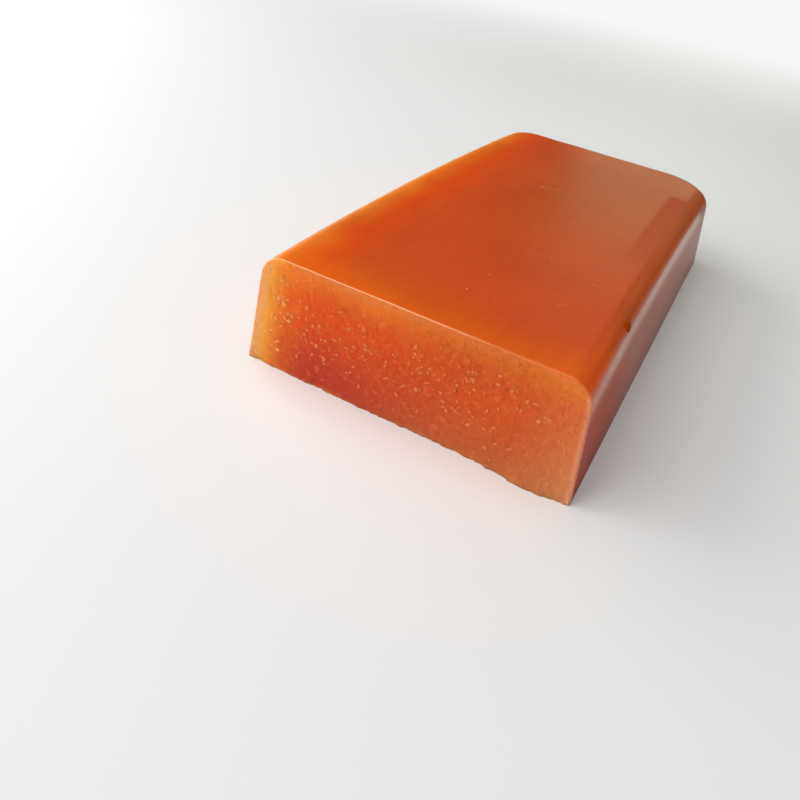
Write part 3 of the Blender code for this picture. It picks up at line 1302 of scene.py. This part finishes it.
@dataclass
class SkinStrands(Piece):
    """Strands of pulp that lie half sunk in the glossy top, most of them along one broken arc."""

    name: str = "skin_strands"
    sections: int = 24
    sides: int = 8
    tip_area: float = 0.03
    sunk: float = 0.36
    knot_size: float = 0.0012
    knots: float = 0.5

    def strands(self) -> tuple[Strand, ...]:
        """The strands, from the left of the arc to its right, and then the loose ones."""
        return (
            Strand((-20.5, 83.5), (-10.8, 90.2), thick=0.26, bow=0.8, tone=0.32),
            Strand((-8.0, 91.3), (0.2, 93.2), thick=0.28, bow=0.3, tone=0.50),
            Strand((-7.3, 91.2), (-6.2, 91.8), thick=0.50, tone=1.0),
            Strand((3.8, 94.0), (5.6, 92.3), thick=0.45, tone=0.60),
            Strand((8.4, 87.1), (10.4, 87.6), thick=0.45, tone=0.35),
            Strand((10.6, 90.7), (12.4, 90.9), thick=0.45, bow=0.3, tone=0.40),
            Strand((12.9, 89.7), (17.2, 86.6), thick=0.26, bow=0.3, tone=0.28),
            Strand((5.2, 43.6), (10.2, 46.8), thick=0.28, bow=-0.7, tone=0.30),
            Strand((20.0, 24.0), (22.1, 26.3), thick=0.30, bow=-0.1, tone=0.70),
            Strand((-35.2, 119.6), (-28.0, 122.4), thick=0.26, bow=-0.7, tone=0.10),
            Strand((9.1, 72.0), (9.9, 71.8), thick=0.45, tone=0.60),
            Strand((25.2, 50.7), (25.8, 51.1), thick=0.50, tone=0.85),
            Strand((23.5, 39.6), (24.1, 40.0), thick=0.45, tone=0.70),
            Strand((27.4, 64.3), (28.0, 64.7), thick=0.40, tone=0.55),
            Strand((10.0, 32.0), (10.6, 32.2), thick=0.45, tone=0.60),
            Strand((2.7, 16.9), (3.3, 17.3), thick=0.55, tone=0.70),
            Strand((3.5, 26.6), (4.5, 26.8), thick=0.40, tone=0.45),
            Strand((-2.1, 25.1), (-1.5, 25.7), thick=0.35, tone=0.35),
        )

    def lay(self, strand: Strand) -> Object:
        """Lays one strand in the top.

        Args:
            strand: the strand.

        Returns:
            A thin tapered rod that follows the top.
        """
        start, end = Vector(strand.start) * MM, Vector(strand.end) * MM
        run = end - start
        across = Vector((-run.y, run.x)).normalized()
        deselect_all()
        bpy.ops.mesh.primitive_cylinder_add(vertices=self.sides, radius=0.5, depth=1.0)
        rod = bpy.context.object
        with editing():
            slice_mesh(UP.normal(), [i / self.sections - 0.5 for i in range(1, self.sections)])
        for vertex in rod.data.vertices:
            share = vertex.co.z + 0.5
            middle = start + run * share + across * strand.bow * MM * 4 * share * (1 - share)
            taper = math.sqrt(max(self.tip_area, 1 - (2 * share - 1) ** 2)) * strand.thick * MM
            seat = self.bar.on_top(middle.x, middle.y)
            uneven = 1 + self.knots * noise.noise(seat / self.knot_size)
            seat.z -= taper * self.sunk
            aside = across.to_3d() * vertex.co.x + Vector((0.0, 0.0, vertex.co.y))
            vertex.co = seat + aside * taper * uneven
        keep_tones(rod.data, [strand.tone] * len(rod.data.vertices))
        return rod

    def make(self) -> Object:
        """Makes the strands and joins them."""
        rods = [self.lay(strand) for strand in self.strands()]
        deselect_all()
        for rod in rods:
            rod.select_set(True)
        bpy.context.view_layer.objects.active = rods[0]
        bpy.ops.object.join()
        piece = named(self.name)
        with editing():
            bpy.ops.mesh.select_all(action="SELECT")
            bpy.ops.mesh.normals_make_consistent(inside=False)
        bpy.ops.object.shade_smooth()
        return piece


@dataclass
class EdgeLump(Piece):
    """The lump of darker paste that is stuck on the right top edge."""

    name: str = "edge_lump"
    radius: float = 0.0016
    stretch: tuple[float, float, float] = (1.0, 1.35, 0.9)
    along: float = 0.031
    angle: float = math.radians(53)
    sunk: float = 0.62
    bump_height: float = 0.00022
    bump_size: float = 0.0009

    def make(self) -> Object:
        """Makes the lump."""
        mould = self.bar.mould
        outward = Vector((math.sin(self.angle), 0.0, math.cos(self.angle)))
        middle = Vector((mould.half - mould.edge_radius, self.along, mould.height - mould.edge_radius))
        seat = self.bar.row_place(middle + outward * mould.edge_radius / max(outward))
        place = seat - outward * self.radius * self.sunk
        deselect_all()
        bpy.ops.mesh.primitive_ico_sphere_add(
            subdivisions=4, radius=self.radius, location=place, scale=self.stretch
        )
        lump = named(self.name)
        for vertex in lump.data.vertices:
            away = (vertex.co - seat).normalized()
            vertex.co += away * self.bump_height * noise.noise(vertex.co / self.bump_size)
        lump.data.update()
        bpy.ops.object.shade_smooth()
        return lump


@dataclass(frozen=True)
class Lamp:
    """A soft rectangular lamp that looks at a point."""

    name: str
    place: tuple[float, float, float]
    aim: tuple[float, float, float]
    size: tuple[float, float]
    watts: float
    colour: Colour = (1.0, 1.0, 1.0)

    def build(self) -> None:
        """Hangs the lamp."""
        light = bpy.data.lights.new(self.name, "AREA")
        light.shape = "RECTANGLE"
        light.size, light.size_y = self.size
        light.energy = self.watts
        light.color = self.colour
        lamp = bpy.data.objects.new(self.name, light)
        lamp.location = self.place
        look = Vector(self.aim) - Vector(self.place)
        lamp.rotation_euler = look.to_track_quat("-Z", "Y").to_euler()
        bpy.context.scene.collection.objects.link(lamp)


@dataclass
class Viewpoint:
    """The camera, where the photograph was taken from."""

    origin: Vector
    azimuth: float = math.radians(22.5907)
    elevation: float = math.radians(36.4401)
    roll: float = math.radians(10.5590)
    distance: float = 0.154012
    aim: tuple[float, float, float] = (-0.003422, 0.008112, 0.0)
    lens: float = 31.3223
    sensor: float = 36.0
    nearest: float = 0.005

    def build(self) -> None:
        """Sets the camera up."""
        flat, high = math.cos(self.elevation), math.sin(self.elevation)
        back = Vector((math.sin(self.azimuth) * flat, -math.cos(self.azimuth) * flat, high))
        level = (-back).cross(UP.normal()).normalized()
        above = level.cross(-back)
        right = level * math.cos(self.roll) + above * math.sin(self.roll)
        up = above * math.cos(self.roll) - level * math.sin(self.roll)
        data = bpy.data.cameras.new("viewpoint")
        data.lens = self.lens
        data.sensor_width = self.sensor
        data.clip_start = self.nearest
        camera = bpy.data.objects.new("viewpoint", data)
        place = Vector(self.aim) + self.origin + back * self.distance
        camera.matrix_world = Matrix.Translation(place) @ Matrix((right, up, back)).transposed().to_4x4()
        bpy.context.scene.collection.objects.link(camera)
        bpy.context.scene.camera = camera


@dataclass(frozen=True)
class Air:
    """Soft light from all round: strongest from above and in front to the left, weakest from behind."""

    towards: tuple[float, float, float] = (-0.35, -0.60, 0.72)
    dimmest: float = 0.02
    brightest: float = 0.75
    seen: float = 0.93

    def world(self) -> bpy.types.World:
        """The world. What the camera sees past the board is as pale as the board."""
        desk = NodeDesk(bpy.data.worlds.new("soft_air"), "Background")
        direction = desk.add("ShaderNodeTexCoord").outputs["Generated"]
        towards = tuple(Vector(self.towards).normalized())
        facing = desk.vector("DOT_PRODUCT", direction, towards, result="Value")
        glow = desk.smooth(facing, 0.0, 1.0)
        light = desk.maths("MULTIPLY_ADD", glow, self.brightest - self.dimmest, self.dimmest)
        seen = desk.add("ShaderNodeLightPath").outputs["Is Camera Ray"]
        unseen = desk.maths("MULTIPLY", desk.maths("SUBTRACT", 1.0, seen), light)
        desk.set(Color=(1.0, 1.0, 1.0), Strength=desk.maths("MULTIPLY_ADD", seen, self.seen, unseen))
        return desk.owner


@dataclass
class Studio:
    """A pale board under soft light."""

    origin: Vector
    board_width: float = 8.0

    def lamps(self) -> tuple[Lamp, ...]:
        """The lamps: broad soft ones all round, and a low window behind that the skin mirrors."""
        bar = (0.0, 0.0, 0.01)
        return (
            Lamp("left_lamp", (-0.62, 0.0, 0.26), bar, (0.70, 0.44), 2.6),
            Lamp("front_lamp", (-0.42, -0.46, 0.42), bar, (0.60, 0.60), 2.5),
            Lamp("right_lamp", (0.62, 0.0, 0.40), bar, (0.30, 0.30), 0.12),
            Lamp("high_lamp", (0.0, 0.0, 0.90), (0.0, 0.0, 0.0), (0.60, 0.60), 1.4),
            Lamp("low_window", (-0.050, 0.80, 0.22), (0.0, 0.0, 0.03), (0.24, 0.36), 0.26, (1.0, 0.96, 0.56)),
        )

    def build(self) -> None:
        """Lays the board that the bar lies on, hangs the lamps and fills the air with light."""
        deselect_all()
        bpy.ops.mesh.primitive_plane_add(size=self.board_width, location=(0.0, 0.0, self.origin.z))
        board = named("board")
        board.data.materials.append(FloorFinish().material())
        for lamp in self.lamps():
            lamp.build()
        scene = bpy.context.scene
        scene.world = Air().world()
        scene.view_settings.view_transform = "Standard"
        scene.view_settings.look = "None"


def main() -> None:
    """Builds every piece in order, then the camera and the studio."""
    logging.basicConfig(level=logging.INFO, format="%(name)s: %(message)s")
    bar = Bar.from_frame()
    specks = PulpFinish("skin_flecks", pale=(0.84, 0.22, 0.07), deep=(0.56, 0.080, 0.016))
    hairs = PulpFinish("skin_pulp", pale=(0.92, 0.28, 0.12), deep=(0.60, 0.095, 0.028))
    dark_flesh = PulpFinish("dark_flesh", pale=(0.62, 0.085, 0.004), deep=(0.40, 0.045, 0.001), shine=0.05)
    for piece in (
        PasteBar(bar, PasteFinish()),
        PulpGrains(bar, PulpFinish("stone_cells")),
        PulpFibres(bar, PulpFinish("pulp_strands")),
        SkinSpecks(bar, specks),
        SkinStrands(bar, hairs),
        EdgeLump(bar, dark_flesh),
    ):
        piece.build()
    Viewpoint(bar.origin).build()
    Studio(bar.origin).build()


if __name__ == "__main__":
    main()
